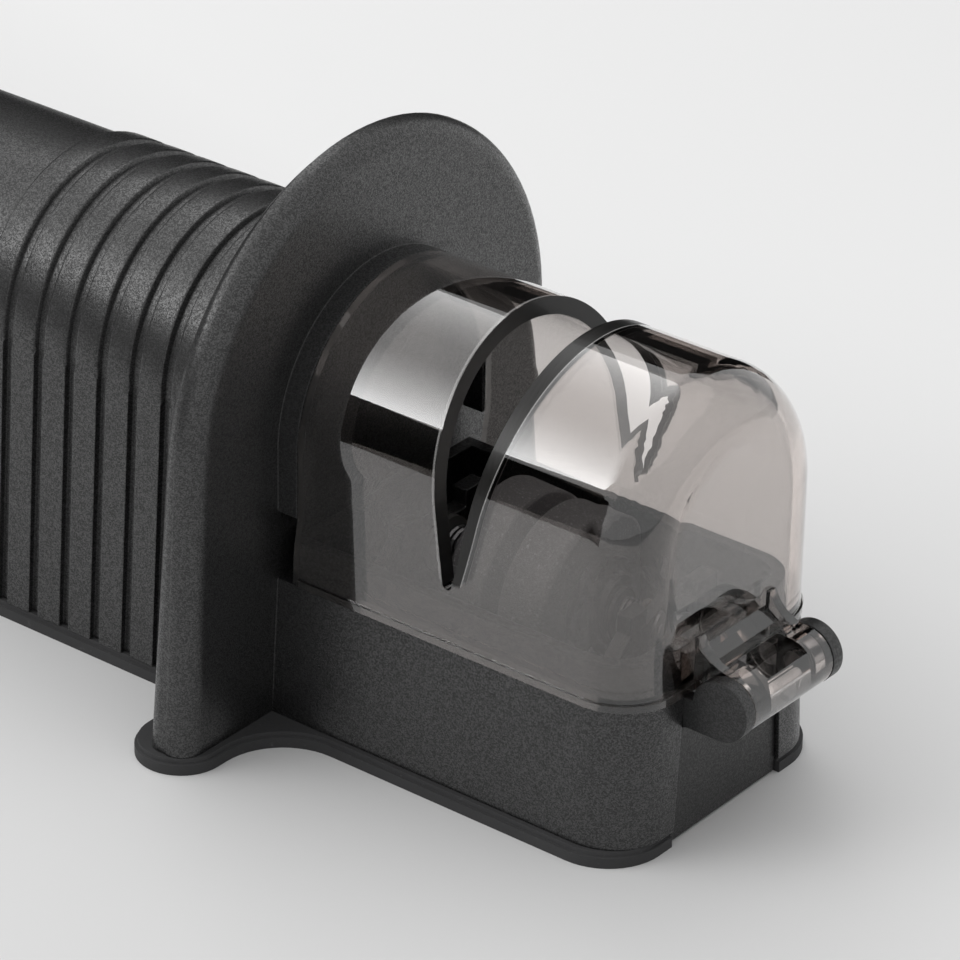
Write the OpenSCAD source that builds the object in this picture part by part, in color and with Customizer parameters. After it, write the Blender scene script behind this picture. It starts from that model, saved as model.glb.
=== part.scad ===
// Manual knife sharpener: an arched, ribbed handle, a D-shaped hand guard and a low
// water tub, with a see-through slotted cover hinged at the front.
// +X points to the hinge, +Z up. The origin is on the table, under the middle.

/* [Overall] */
// Length from the handle's end to the hinge's front
overall_l = 190; // [180:1:215]
// Height of the rubber sole
sole_h = 2.2; // [1.8:0.1:2.6]
// Width of the sole's ledge round the walls
sole_ledge = 1.1; // [0.6:0.1:1.6]
// Height of the tub's rim, where the cover starts
rim_z = 21.3; // [20.6:0.1:22]

/* [Handle] */
// Radius of the handle's arched top
handle_r = 19.7; // [18.6:0.1:19.9]
// Height of the handle's crown
handle_h = 59.5; // [56:0.5:62]
// Draft of the handle's and tub's sides, in degrees
side_draft = 3.6; // [2.5:0.1:4.2]
// Wall of the body moulding
body_wall = 2.4; // [2:0.1:2.8]
// Rounding of the handle's far end
tail_round = 18; // [15:0.5:19]
// Number of raised bands on the handle
rib_count = 7; // [4:1:9]
// Distance from band to band
rib_pitch = 5.45; // [4.8:0.05:6]
// Height of the bands above the handle
rib_proud = 0.8; // [0.4:0.1:1]
// Width of the grooves between the bands
groove_w = 1.1; // [0.8:0.1:1.6]

/* [Hand guard] */
// Height of the guard
guard_h = 76; // [73:0.5:80]
// Radius of the guard's arched top
guard_r = 35.9; // [34.8:0.1:36.6]
// Flare of the guard's sides, in degrees
guard_flare = 3.3; // [2.6:0.1:4]
// Thickness of the guard at its top
guard_top_t = 4.7; // [4.4:0.1:5.4]
// Slope of the guard's back face, in degrees
guard_draft = 1.7; // [1:0.1:2]
// Rounding of the guard's front edge
guard_front_round = 3.1; // [2.4:0.1:3.3]
// Rounding of the guard's back edge
guard_back_round = 2.3; // [1.6:0.1:2.6]
// Length of the collar that meets the cover
collar_l = 3.1; // [2:0.1:4]
// Wall of the collar
collar_wall = 2.6; // [2:0.1:3.2]
// Height at which the collar ends on each side
collar_foot = 31; // [29:0.5:34]

/* [Tub] */
// Length of the tub, from the guard's face
tub_l = 56.7; // [54:0.1:60]
// Half width of the tub at its rim
tub_half_w = 20; // [19.6:0.1:20.4]
// Rounding of the tub's upright front corners
tub_corner = 8; // [7:0.1:9]
// Thickness of the tub's floor
tub_floor = 2.2; // [1.8:0.1:2.6]
// Thickness of the tub's front wall
tub_front_wall = 3.1; // [2.8:0.1:3.4]
// Wall of the water tray
tray_wall = 1.8; // [1.4:0.1:2.2]
// Height of the tray's lip above the tub's rim
tray_lip = 5.4; // [4:0.1:6]

/* [Cover] */
// Radius of the cover's arched top
cover_r = 20.05; // [19.8:0.05:20.3]
// Height of the cover's crown
cover_h = 59.7; // [57:0.1:62]
// Wall of the cover
cover_wall = 2.3; // [1.9:0.1:2.5]
// Rounding of the cover's closed front end
cover_round = 8; // [7:0.1:9]
// Height of the bead along the cover's lower edge
bead_h = 1; // [0.6:0.1:1.4]
// How far the bead stands out
bead_proud = 0.3; // [0.2:0.05:0.4]
// Slot's back edge at the crown, behind the tub's middle
slot_back_reach = 5.75; // [4.5:0.05:7]
// Slot's back edge at its foot, behind the tub's middle
slot_back_narrow = 1.25; // [1:0.05:1.6]
// Slot's front edge at the crown, ahead of the tub's middle
slot_front_reach = 7.65; // [6:0.05:9]
// Slot's front edge at its foot, ahead of the tub's middle
slot_front_narrow = 1.05; // [0.8:0.05:1.4]
// Height of the slot's foot
slot_foot_z = 30.4; // [29.5:0.1:31]
// Bulge of the slot's curved front edge
slot_bulge = 1; // [0.6:0.1:1.4]

/* [Hinge] */
// Hinge axis in front of the tub's front wall
pivot_out = 5.4; // [5.2:0.1:6]
// Hinge axis below the tub's rim
pivot_drop = 0.2; // [0:0.1:0.6]
// Radius of the knuckles
knuckle_r = 4.05; // [3.8:0.05:4.3]
// Width of each knuckle
knuckle_w = 1.9; // [1.6:0.1:2.4]
// Radius of the cover's barrel
barrel_r = 4; // [3.7:0.05:4.2]
// Half length of the barrel
barrel_half = 8.1; // [7.4:0.1:9]
// Radius of the hinge pins
pin_r = 1.5; // [1.2:0.05:1.7]
// Height of the barrel's gussets above the tub's rim
ear_rise = 7.4; // [6:0.1:8.5]
// Thickness of the barrel's gussets
ear_t = 1.4; // [1:0.1:2]
// Width of the hinge bracket's plate at its top, halved
plate_half_w = 10.1; // [10.1:0.1:11]

/* [Sharpening wheels] */
// Radius of the axle
axle_r = 1.5; // [1.2:0.05:1.8]
// Height of the axle above the table
axle_z = 22.3; // [22:0.1:22.6]
// Radius of the wheels
wheel_r = 11.5; // [10.5:0.1:11.8]
// Depth of the V groove between the wheels
vee_depth = 3.3; // [2.5:0.1:4]
// Slope of the groove's sides against the blade, in degrees
vee_angle = 20; // [15:1:25]
// Radius of the wheels' hubs
hub_r = 4.5; // [4:0.1:5]
// Wire thickness of the springs that press the wheels together
spring_wire = 0.7; // [0.5:0.05:0.8]

/* [Screws] */
// Radius of the screws' shanks
screw_r = 1.2; // [1:0.05:1.4]
// Radius of the screws' heads
screw_head_r = 2.3; // [2:0.1:2.4]
// Height of the screws' heads
screw_head_h = 1; // [0.8:0.1:1.1]

/* [Clearances] */
// Running clearance of shafts in their holes
fit_gap = 0.06; // [0.03:0.01:0.09]
// Gap between the cover and the body along their seam
seam_gap = 0.2; // [0.1:0.05:0.3]
// Gap between parts that turn or lift past each other
side_gap = 0.3; // [0.2:0.05:0.4]
// Gap round parts that drop into each other
drop_gap = 0.15; // [0.1:0.05:0.2]

/* [Hidden] */
$fn = 96;
big = 200;
// Where a round runs on into a flat or a larger round, one lies lower by this much
let_in = 0.02;
body_color = [0.16, 0.16, 0.17];
smoke = [0.35, 0.33, 0.33, 0.5];

// Places along X are counted from the guard's front face
pivot_x = tub_l + pivot_out;
pivot_z = rim_z - pivot_drop;
guard_x = overall_l / 2 - pivot_x - knuckle_r;
tail_x = -overall_l / 2 - guard_x;
tail_face = tail_x + sole_ledge;

// Handle
handle_rise = handle_h - handle_r;
handle_foot_w = handle_r / cos(side_draft) + (handle_rise - sole_h) * tan(side_draft);
cavity_end = -9.5;
boss_r = 3.3;
boss_h = 14;
boss_y = handle_foot_w - body_wall - boss_r + 0.1;
boss_x = [tail_face + tail_round, (tail_face + tail_round + cavity_end) / 2 - 2, cavity_end - 6];
stiffener_w = 2;
stiffener_depth = 7;
rib_last = -18.35;
rib_first = rib_last - (rib_count - 2) * rib_pitch;

// Guard
guard_arc_z = guard_h - guard_r;
guard_seam = guard_front_round + 0.2;
guard_step = 0.1;
guard_core_in = 10;

// Tub and tray
tub_front_in = tub_l - tub_front_wall;
tray_half_w = tub_half_w - body_wall - drop_gap;
tray_x0 = 1.05;
tray_x1 = tub_front_in - drop_gap;
tray_corner = tub_corner - 2;
pad_top = 7.6;
tray_top = rim_z + tray_lip;
tray_floor = pad_top + 1.6;
pad_r = 3.2;
pad_x = 9;
pad_y = 11;

// Hinge bracket
plate_face = tub_l - 0.6;
plate_t = 1.2;
plate_flare = 1.1;
underside_z = 0.4;
flange_l = 9;
flange_half_w = 9;
flange_screw_x = plate_face - plate_t - 5;
flange_screw_y = 5.6;
arm_in = barrel_half + seam_gap;
pin_seat = 1.2;
pin_reach = 1.8;

// Cover
cover_x0 = collar_l + seam_gap;
cover_x1 = tub_l - 0.1;
cover_z0 = rim_z + seam_gap / 2;
lug_top = collar_foot - 0.6;
lug_reach = pivot_x - collar_l + 0.6;
slot_back_top = tub_l / 2 - slot_back_reach;
slot_back_foot = tub_l / 2 - slot_back_narrow;
slot_front_top = tub_l / 2 + slot_front_reach;
slot_front_foot = tub_l / 2 + slot_front_narrow;
slot_chord = sqrt(pow(slot_front_top - slot_front_foot, 2) + pow(cover_h - slot_foot_z, 2));
slot_arc_r = slot_chord * slot_chord / (8 * slot_bulge) + slot_bulge / 2;
slot_tilt = atan2(slot_front_top - slot_front_foot, cover_h - slot_foot_z);
slot_mid_x = (slot_front_top + slot_front_foot) / 2;
slot_mid_z = (cover_h + slot_foot_z) / 2;
slot_foot_r = (slot_front_foot - slot_back_foot) / 2;
ear_tip_t = 0.5;
ear_angle = 20;
ear_dx = cover_x1 + ear_tip_t - pivot_x;
ear_dz = rim_z + ear_rise - pivot_z;
ear_round = (ear_dx * ear_dx + ear_dz * ear_dz - barrel_r * barrel_r)
    / (2 * (barrel_r - ear_dx * cos(ear_angle) - ear_dz * sin(ear_angle)));
window_half_w = 4.2;
window_x0 = pivot_x - 1.8;
window_x1 = pivot_x + 2.7;
window_floor = pivot_z - barrel_r + 1.2;

// Wheels and their cradle
blade_x = (slot_back_foot + slot_front_foot) / 2 - 0.35;
half_gap = side_gap / 2;
cradle_room = 4.75;
cradle_half = tray_x1 - tray_wall - blade_x - cradle_room;
cradle_shoulder = 8;
tab_w = 4;
tab_h = 2.4;
axle_over = 1.2;
cradle_wall = 2.4;
cradle_half_w = tray_half_w - tray_wall - 0.35;
rail_w = 1.6;
rail_top = axle_z - 3;
cradle_floor = tray_floor + 0.2;
cradle_top = axle_z + 3.2;
washer_t = 0.8;
washer_r = 3.6;
spring_l = 4;
spring_turns = 4;
spring_r = axle_r + fit_gap + spring_wire / 2 + 0.5;
hub_end = cradle_half - cradle_wall - 2 * washer_t - spring_l - side_gap;
hub_flange_w = 1.2;
hub_flange_r = hub_r + 1.6;
hub_stub = 1.55;
wheel_w = hub_end - half_gap - hub_flange_w - hub_stub;
clip_t = 0.6;
clip_r = 3;

// Sole
sole_land = 3.2;
sole_bridge = 13;
plate_room = 0.2;
lobe_x = -4.75;
lobe_half_l = 6.05;
lobe_y = 33.35;
lobe_front_round = 9.3;
lobe_back_round = 7;

// Screws
screw_seat = underside_z + screw_head_h + 0.1;
base_screw_l = 9.5;
bracket_screw_l = pad_top - 1.2 - screw_seat;

// Places what is drawn from the guard's face in the part's frame
module from_guard() {
    translate([guard_x, 0, 0]) children();
}

module both_sides() {
    children();
    mirror([0, 1, 0]) children();
}

// Extrudes a section in Y and Z along X
module along_x(x0, x1) {
    translate([x0, 0, 0]) rotate([90, 0, 90]) linear_extrude(x1 - x0) children();
}

// Extrudes a section in X and Z along Y
module along_y(y0, y1) {
    translate([0, y1, 0]) rotate([90, 0, 0]) linear_extrude(y1 - y0) children();
}

// Section with a round top and drafted sides down to its foot
module arch(r, crown, draft, foot) {
    rise = crown - r;
    side_y = (r - let_in) * cos(draft);
    side_z = rise + (r - let_in) * sin(draft);
    foot_y = side_y + (side_z - foot) * tan(draft);
    intersection() {
        translate([0, rise]) circle(r);
        translate([-r - 1, foot]) square([2 * r + 2, crown - foot + 1]);
    }
    polygon([[-side_y, side_z], [-foot_y, foot], [foot_y, foot], [side_y, side_z]]);
}

// Half outline from the middle line to half width r, with its far corner rounded
module half_outline(r, x0, x1, round_r) {
    translate([0, x0]) square([r, x1 - x0 - round_r]);
    translate([0, x0]) square([r - round_r, x1 - x0]);
    translate([r - round_r, x1 - round_r]) intersection() {
        circle(round_r);
        square(round_r);
    }
}

// Upright or leaning side of a form, with its rounded front corner
module flank(r, x0, x1, round_r, drop, draft) {
    rotate([draft, 0, 0]) translate([0, 0, -drop])
        linear_extrude(drop) mirror([1, -1, 0]) half_outline(r, x0, x1, round_r);
}

// Arched form with upright sides, whose end at x1 is rounded all the way round
module arched_form(r, crown, foot, x0, x1, round_r) {
    rise = crown - r;
    translate([0, 0, rise]) rotate([0, 90, 0]) rotate([0, 0, 90])
        rotate_extrude(angle = 180) half_outline(r, x0, x1, round_r);
    both_sides() translate([0, 0, rise]) flank(r, x0, x1, round_r, rise - foot, 0);
}

// Box with rounded front corners, upright sides
module plan_box(half_w, x0, x1, round_r, z0, z1) {
    translate([0, 0, z1]) both_sides() flank(half_w, x0, x1, round_r, z1 - z0, 0);
}

// One layer of the guard, its edge rounded at the start of its depth.
// The arched top meets the middle plane, and the sides run on straight to the floor.
module guard_layer(inset, depth, edge_round) {
    r = guard_r - inset;
    core_w = guard_r - guard_core_in;
    for (side = [0, 1]) mirror([side, 0, 0]) intersection() {
        union() {
            translate([0, guard_arc_z, 0]) rotate([0, 0, guard_flare]) {
                rotate_extrude(angle = 90) guard_edge(r, depth, edge_round);
                rotate([90, 0, 0]) linear_extrude(guard_arc_z + 6)
                    guard_edge(r, depth, edge_round);
            }
            translate([-1, -2, 0]) cube([core_w, guard_arc_z + guard_core_in, depth]);
        }
        translate([0, -2, -1]) cube([big, big, depth + 2]);
    }
}

module guard_edge(r, depth, edge_round) {
    square([r - edge_round, depth]);
    translate([0, edge_round]) square([r, depth - edge_round]);
    translate([r - edge_round, edge_round]) intersection() {
        circle(edge_round);
        translate([0, -edge_round]) square(edge_round);
    }
}

// D-shaped guard: an upright front layer and a leaning back layer
module guard() {
    intersection() {
        union() {
            rotate([90, 0, -90]) guard_layer(0, guard_seam, guard_front_round);
            intersection() {
                translate([-guard_top_t, 0, guard_h]) rotate([0, guard_draft, 0])
                    translate([0, 0, -guard_h]) rotate([90, 0, 90])
                    guard_layer(guard_step, guard_top_t + 1, guard_back_round);
                translate([-guard_seam - big, -big / 2, -big / 2]) cube([big, big, big]);
            }
        }
        translate([-big / 2, -big / 2, sole_h]) cube([big, big, big]);
    }
}

// Cutter that leaves the plain handle standing between two bands
module groove(x) {
    along_x(x - groove_w / 2, x + groove_w / 2) difference() {
        translate([-big / 2, -1]) square([big, big]);
        arch(handle_r, handle_h, side_draft, -2);
    }
}

// Arched handle, drawn in from its outside by inset, with its far end rounded off
module handle_form(inset, x1, foot) {
    end_r = handle_foot_w + 0.3 - inset;
    intersection() {
        along_x(tail_face + inset - 1, x1)
            arch(handle_r - inset, handle_h - inset, side_draft, foot);
        mirror([1, 0, 0]) arched_form(end_r, handle_h + 0.3 - inset, foot - 1, -x1 - 1,
            -tail_face - inset, tail_round - inset);
    }
}

module handle_outside() {
    bands_x0 = rib_first - rib_pitch + groove_w / 2;
    handle_form(0, bands_x0 + 1, sole_h);
    difference() {
        along_x(bands_x0, -2)
            arch(handle_r + rib_proud, handle_h + rib_proud, side_draft, sole_h);
        for (i = [0 : rib_count - 2]) groove(rib_first + i * rib_pitch);
    }
}

module handle_cavity() {
    handle_form(body_wall, cavity_end, sole_h - 1);
}

// Arched frames and screw bosses that stiffen the hollow handle
module handle_inside() {
    for (x = boss_x) {
        along_x(x - stiffener_w / 2, x + stiffener_w / 2) difference() {
            arch(handle_r - 1, handle_h - 1, side_draft, sole_h);
            translate([0, -1]) arch(handle_r - body_wall - stiffener_depth,
                handle_h - body_wall - stiffener_depth, side_draft, sole_h);
        }
        both_sides() translate([x, boss_y, sole_h]) cylinder(r = boss_r, h = boss_h);
    }
}

module tub_outside() {
    intersection() {
        union() {
            both_sides() translate([0, 0, rim_z + 2])
                flank(tub_half_w - 2 * sin(side_draft), -2, tub_l, tub_corner, rim_z + 4, side_draft);
            translate([-2, tub_corner - tub_half_w, 0])
                cube([tub_l + 2, 2 * (tub_half_w - tub_corner), rim_z]);
        }
        translate([-big / 2, -big / 2, sole_h]) cube([big, big, rim_z - sole_h]);
    }
}

module screw_holes(x, y, r, z0, z1) {
    both_sides() translate([x, y, z0]) cylinder(r = r, h = z1 - z0);
}

module housing() {
    color(body_color) from_guard() difference() {
        union() {
            difference() {
                union() {
                    handle_outside();
                    guard();
                    tub_outside();
                }
                handle_cavity();
                plan_box(tub_half_w - body_wall, 0.9, tub_front_in, tray_corner + drop_gap,
                    sole_h + tub_floor, rim_z + 1);
                along_x(plate_face - plate_t, tub_l + 1)
                    polygon([[-plate_half_w, rim_z + 1], [-plate_half_w, rim_z],
                    [-plate_half_w - plate_flare, sole_h - 1],
                    [plate_half_w + plate_flare, sole_h - 1],
                    [plate_half_w, rim_z], [plate_half_w, rim_z + 1]]);
            }
            handle_inside();
            along_x(-1, collar_l) difference() {
                arch(cover_r - 0.05, cover_h - 0.05, 0, collar_foot);
                translate([0, -1]) arch(cover_r - collar_wall, cover_h - collar_wall + 1, 0,
                    collar_foot);
            }
            both_sides() translate([flange_screw_x, flange_screw_y, sole_h])
                cylinder(r = pad_r, h = pad_top - sole_h);
            both_sides() translate([pad_x, pad_y, sole_h])
                cylinder(r = pad_r, h = pad_top - sole_h);
        }
        for (x = boss_x)
            screw_holes(x, boss_y, screw_r + 0.05, sole_h - 1, sole_h + base_screw_l);
        screw_holes(flange_screw_x, flange_screw_y, screw_r + 0.05, sole_h - 1, pad_top - 1);
    }
}

// Plan of the sole, drawn in from its edge by inset
module sole_outline(inset) {
    handle_w = handle_foot_w + sole_ledge - inset;
    tail_r = tail_round + sole_ledge - inset;
    tub_w = tub_half_w + (rim_z - sole_h) * tan(side_draft) + sole_ledge - inset;
    tub_r = tub_corner + 0.3 - inset;
    lobe_r = lobe_half_l - inset;
    front_r = lobe_front_round + inset;
    back_r = lobe_back_round + inset;
    mirror([1, 0]) for (side = [0, 1]) mirror([0, side]) mirror([1, -1])
        half_outline(handle_w, 0, -tail_x - inset, tail_r);
    for (side = [0, 1]) mirror([0, side]) {
        mirror([1, -1]) half_outline(tub_w, 0, tub_l - inset, tub_r);
        translate([lobe_x, lobe_y]) circle(lobe_r);
        translate([lobe_x - lobe_r, 0]) square([2 * lobe_r, lobe_y]);
        difference() {
            translate([lobe_x, tub_w - 1]) square([lobe_r + front_r, front_r + 1]);
            translate([lobe_x + lobe_r + front_r, tub_w + front_r]) circle(front_r);
        }
        difference() {
            translate([lobe_x - lobe_r - back_r, handle_w - 1])
                square([lobe_r + back_r, back_r + 1]);
            translate([lobe_x - lobe_r - back_r, handle_w + back_r]) circle(back_r);
        }
    }
}

// Opening of the sole under the handle, where the base plate sits
module base_opening(inset) {
    for (side = [0, 1]) mirror([0, side]) mirror([1, 0]) mirror([1, -1])
        half_outline(handle_foot_w - sole_land - inset, sole_bridge + inset,
            -tail_face - sole_land - inset, tail_round - sole_land);
}

module sole() {
    color([0.13, 0.13, 0.14]) from_guard() difference() {
        union() {
            linear_extrude(sole_h - 0.7) sole_outline(0);
            linear_extrude(sole_h) sole_outline(0.4);
        }
        translate([0, 0, -1]) linear_extrude(sole_h + 2) base_opening(0);
        translate([0, 0, -1]) linear_extrude(sole_h + 2) for (side = [0, 1]) mirror([0, side])
            mirror([1, -1]) half_outline(tub_half_w - sole_land, 5,
                tub_front_in - plate_room, tub_corner - sole_land);
        translate([tub_front_in - tub_corner, -plate_half_w - plate_flare - plate_room, -1])
            cube([tub_corner + tub_front_wall + 2 * sole_ledge,
                2 * (plate_half_w + plate_flare + plate_room), sole_h + 2]);
    }
}

module base_plate() {
    color([0.2, 0.2, 0.21]) from_guard() difference() {
        translate([0, 0, underside_z])
            linear_extrude(sole_h - underside_z) base_opening(plate_room);
        for (x = boss_x) {
            screw_holes(x, boss_y, screw_r + 0.2, 0, sole_h + 1);
            screw_holes(x, boss_y, screw_head_r + 0.2, 0, screw_seat);
        }
    }
}

// Pan head with a cross recess, shank pointing up
module screw(shank_l) {
    recess_l = 2.4;
    recess_w = 0.6;
    recess_d = 0.6;
    difference() {
        union() {
            translate([0, 0, -screw_head_h]) cylinder(r = screw_head_r, h = screw_head_h);
            cylinder(r = screw_r, h = shank_l - 1);
            translate([0, 0, shank_l - 1]) cylinder(r1 = screw_r, r2 = screw_r / 2, h = 1);
        }
        for (turn = [0, 90]) rotate([0, 0, turn])
            translate([-recess_l / 2, -recess_w / 2, -screw_head_h - 0.1])
                cube([recess_l, recess_w, recess_d + 0.1]);
    }
}

module base_screws() {
    color("silver") from_guard() for (x = boss_x) both_sides()
        translate([x, boss_y, screw_seat]) screw(base_screw_l);
}

module bracket_screws() {
    color("silver") from_guard() both_sides()
        translate([flange_screw_x, flange_screw_y, screw_seat]) screw(bracket_screw_l);
}

// Side view of an arm: round knuckle, flat top, hollowed underside at the wall
module arm_outline() {
    hollow_r = 1.4;
    arm_foot = pivot_z - knuckle_r;
    translate([pivot_x, pivot_z]) circle(knuckle_r);
    translate([plate_face - 0.6, arm_foot]) square([pivot_x - plate_face + 0.6, knuckle_r]);
    difference() {
        translate([plate_face - 0.6, arm_foot - hollow_r]) square([hollow_r + 0.6, hollow_r]);
        translate([plate_face + hollow_r, arm_foot - hollow_r]) circle(hollow_r);
    }
}

// Front plate that hooks under the tub, with the two arms of the hinge
module hinge_bracket() {
    plate_gap = 0.1;
    top_w = plate_half_w - plate_gap;
    foot_w = top_w + plate_flare;
    color(body_color) from_guard() difference() {
        union() {
            along_x(plate_face - plate_t, plate_face)
                polygon([[-top_w, rim_z - plate_gap], [-foot_w, underside_z],
                [foot_w, underside_z], [top_w, rim_z - plate_gap]]);
            translate([plate_face - plate_t - flange_l, -flange_half_w, underside_z])
                cube([flange_l + plate_t, 2 * flange_half_w, sole_h - underside_z]);
            both_sides() along_y(arm_in, arm_in + knuckle_w) arm_outline();
        }
        both_sides() translate([pivot_x, arm_in - 1, pivot_z]) rotate([-90, 0, 0])
            cylinder(r = pin_r, h = pin_seat + 1);
        screw_holes(flange_screw_x, flange_screw_y, screw_r + 0.2, 0, sole_h + 1);
        screw_holes(flange_screw_x, flange_screw_y, screw_head_r + 0.2, 0, screw_seat);
    }
}

module hinge_pins() {
    color("silver") from_guard() both_sides()
        translate([pivot_x, barrel_half - pin_reach, pivot_z]) rotate([-90, 0, 0])
            cylinder(r = pin_r, h = pin_reach + arm_in - barrel_half + pin_seat);
}

// Tray that holds the water, standing on the tub's pads
module water_tray() {
    color(body_color) from_guard() difference() {
        plan_box(tray_half_w, tray_x0, tray_x1, tray_corner, pad_top, tray_top);
        plan_box(tray_half_w - tray_wall, tray_x0 + tray_wall, tray_x1 - tray_wall,
            tray_corner - tray_wall, tray_floor, tray_top + 1);
    }
}

// Side view of the blade slot: straight back edge, curved front edge, round foot
module slot_outline() {
    translate([slot_back_foot + slot_foot_r, slot_foot_z]) circle(slot_foot_r);
    intersection() {
        polygon([[slot_back_foot, slot_foot_z], [slot_front_foot, slot_foot_z],
            [slot_front_top + 9, slot_foot_z + 2], [slot_front_top + 9, cover_h + 2],
            [slot_back_top - 2 * (slot_back_foot - slot_back_top) / (cover_h - slot_foot_z),
            cover_h + 2]]);
        translate([slot_mid_x, slot_mid_z]) rotate(-slot_tilt)
            translate([slot_bulge - slot_arc_r, 0]) circle(slot_arc_r, $fn = 720);
    }
}

// Side view of the web between the barrel and the cover's front wall
module web_outline() {
    wall_in = cover_x1 - 1;
    polygon([[wall_in, cover_z0], [wall_in, rim_z + ear_rise - 2],
        [cover_x1, rim_z + ear_rise - 2], [cover_x1 + 2, pivot_z + barrel_r + 0.2],
        [pivot_x, pivot_z + barrel_r - 0.05], [pivot_x, pivot_z],
        [pivot_x - barrel_r + 0.5, cover_z0]]);
}

// Side view of a gusset, hollowed between the front wall and the barrel
module ear_outline() {
    wall_in = cover_x1 - 1;
    difference() {
        translate([wall_in, cover_z0])
            square([pivot_x - wall_in, pivot_z + ear_dz - cover_z0]);
        translate([pivot_x + ear_dx + ear_round * cos(ear_angle),
            pivot_z + ear_dz + ear_round * sin(ear_angle)]) circle(ear_round);
    }
}

module cover_shell() {
    difference() {
        union() {
            arched_form(cover_r, cover_h, cover_z0, cover_x0, cover_x1, cover_round);
            plan_box(cover_r + bead_proud, cover_x0, cover_x1 + bead_proud,
                cover_round + bead_proud, cover_z0, cover_z0 + bead_h);
            both_sides() along_y(cover_r - cover_wall - 1, cover_r) intersection() {
                translate([collar_l - 3, cover_z0]) square([6, lug_top - cover_z0]);
                translate([pivot_x, pivot_z]) circle(lug_reach, $fn = 360);
            }
        }
        arched_form(cover_r - cover_wall, cover_h - cover_wall, cover_z0 - 2,
            collar_l - 4, cover_x1 - cover_wall, cover_round - cover_wall);
        along_y(-cover_r - 2, cover_r + 2) slot_outline();
    }
}

// See-through cover: slotted arched shell and the hinge barrel on its front wall
module cover() {
    color(smoke) from_guard() difference() {
        union() {
            cover_shell();
            along_y(-barrel_half, barrel_half)
                translate([pivot_x, pivot_z]) circle(barrel_r);
            along_y(-barrel_half + ear_t, barrel_half - ear_t) web_outline();
            both_sides() along_y(barrel_half - ear_t, barrel_half) ear_outline();
        }
        translate([window_x0, -window_half_w, window_floor])
            cube([window_x1 - window_x0, 2 * window_half_w, 3 * barrel_r]);
        both_sides() translate([pivot_x, barrel_half - pin_reach - 0.2, pivot_z])
            rotate([-90, 0, 0]) cylinder(r = pin_r + fit_gap, h = pin_reach + 1);
    }
}

// Frame that carries the axle and lifts out of the tray
module wheel_cradle() {
    slot_w = axle_r + 0.1;
    color([0.12, 0.12, 0.12]) from_guard() translate([blade_x, 0, 0]) difference() {
        union() {
            for (side = [0, 1]) mirror([side, 0, 0]) {
                translate([cradle_half - cradle_wall, -cradle_half_w, cradle_floor])
                    cube([cradle_wall, 2 * cradle_half_w, rail_top - cradle_floor]);
                along_x(cradle_half - cradle_wall, cradle_half)
                    polygon([[-cradle_half_w, rail_top - 1], [cradle_half_w, rail_top - 1],
                    [cradle_half_w, rail_top], [cradle_shoulder, cradle_top],
                    [-cradle_shoulder, cradle_top], [-cradle_half_w, rail_top]]);
                both_sides() translate([cradle_half - cradle_wall,
                    cradle_shoulder - tab_w, cradle_top - 1])
                    cube([cradle_wall, tab_w, tab_h + 1]);
            }
            both_sides() translate([-cradle_half + 1, cradle_half_w - rail_w, cradle_floor])
                cube([2 * cradle_half - 2, rail_w, rail_top - cradle_floor]);
        }
        for (side = [0, 1]) mirror([side, 0, 0])
            translate([cradle_half - cradle_wall - 1, 0, axle_z]) {
                rotate([0, 90, 0]) cylinder(r = slot_w, h = cradle_wall + 2);
                translate([0, -slot_w, 0])
                    cube([cradle_wall + 2, 2 * slot_w, cradle_top - axle_z + 1]);
            }
    }
}

module axle() {
    color("silver") from_guard() translate([blade_x - cradle_half - axle_over, 0, axle_z])
        rotate([0, 90, 0]) cylinder(r = axle_r, h = 2 * (cradle_half + axle_over));
}

// Wedges that close the axle's seats
module axle_keepers() {
    keeper_w = axle_r;
    color([0.3, 0.3, 0.3]) from_guard() translate([blade_x, 0, 0])
        for (side = [0, 1]) mirror([side, 0, 0])
            translate([cradle_half - cradle_wall, -keeper_w, axle_z]) difference() {
                cube([cradle_wall, 2 * keeper_w, cradle_top - axle_z]);
                translate([-1, keeper_w, 0]) rotate([0, 90, 0])
                    cylinder(r = axle_r + 0.05, h = cradle_wall + 2);
            }
}

// Open spring clips at the axle's ends
module axle_clips() {
    color("silver") from_guard() translate([blade_x, 0, axle_z])
        for (side = [0, 1]) mirror([side, 0, 0]) translate([cradle_half + 0.1, 0, 0])
            rotate([0, 90, 0]) difference() {
                cylinder(r = clip_r, h = clip_t);
                translate([0, 0, -1]) cylinder(r = axle_r + 0.02, h = clip_t + 2);
                translate([0.6, -axle_r + 0.3, -1])
                    cube([clip_r, 2 * axle_r - 0.6, clip_t + 2]);
            }
}

module washer(x) {
    translate([x, 0, 0]) rotate([0, 90, 0]) difference() {
        cylinder(r = washer_r, h = washer_t);
        translate([0, 0, -1]) cylinder(r = axle_r + fit_gap, h = washer_t + 2);
    }
}

module thrust_washers() {
    wall_in = cradle_half - cradle_wall;
    color([0.75, 0.72, 0.6]) from_guard() translate([blade_x, 0, axle_z])
        for (side = [0, 1]) mirror([side, 0, 0]) {
            washer(wall_in - washer_t);
            washer(wall_in - 2 * washer_t - spring_l);
        }
}

// Ring of points round the spring's wire, at a share of its length
wire_sides = 6;
turn_steps = 16;
function wire_ring(share) =
    let (turn = 360 * spring_turns * share,
        along = spring_wire / 2 + share * (spring_l - spring_wire))
    [for (k = [0 : wire_sides - 1])
        let (a = 360 * k / wire_sides, out = spring_r + spring_wire / 2 * cos(a))
        [along + spring_wire / 2 * sin(a), out * cos(turn), out * sin(turn)]];

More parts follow.
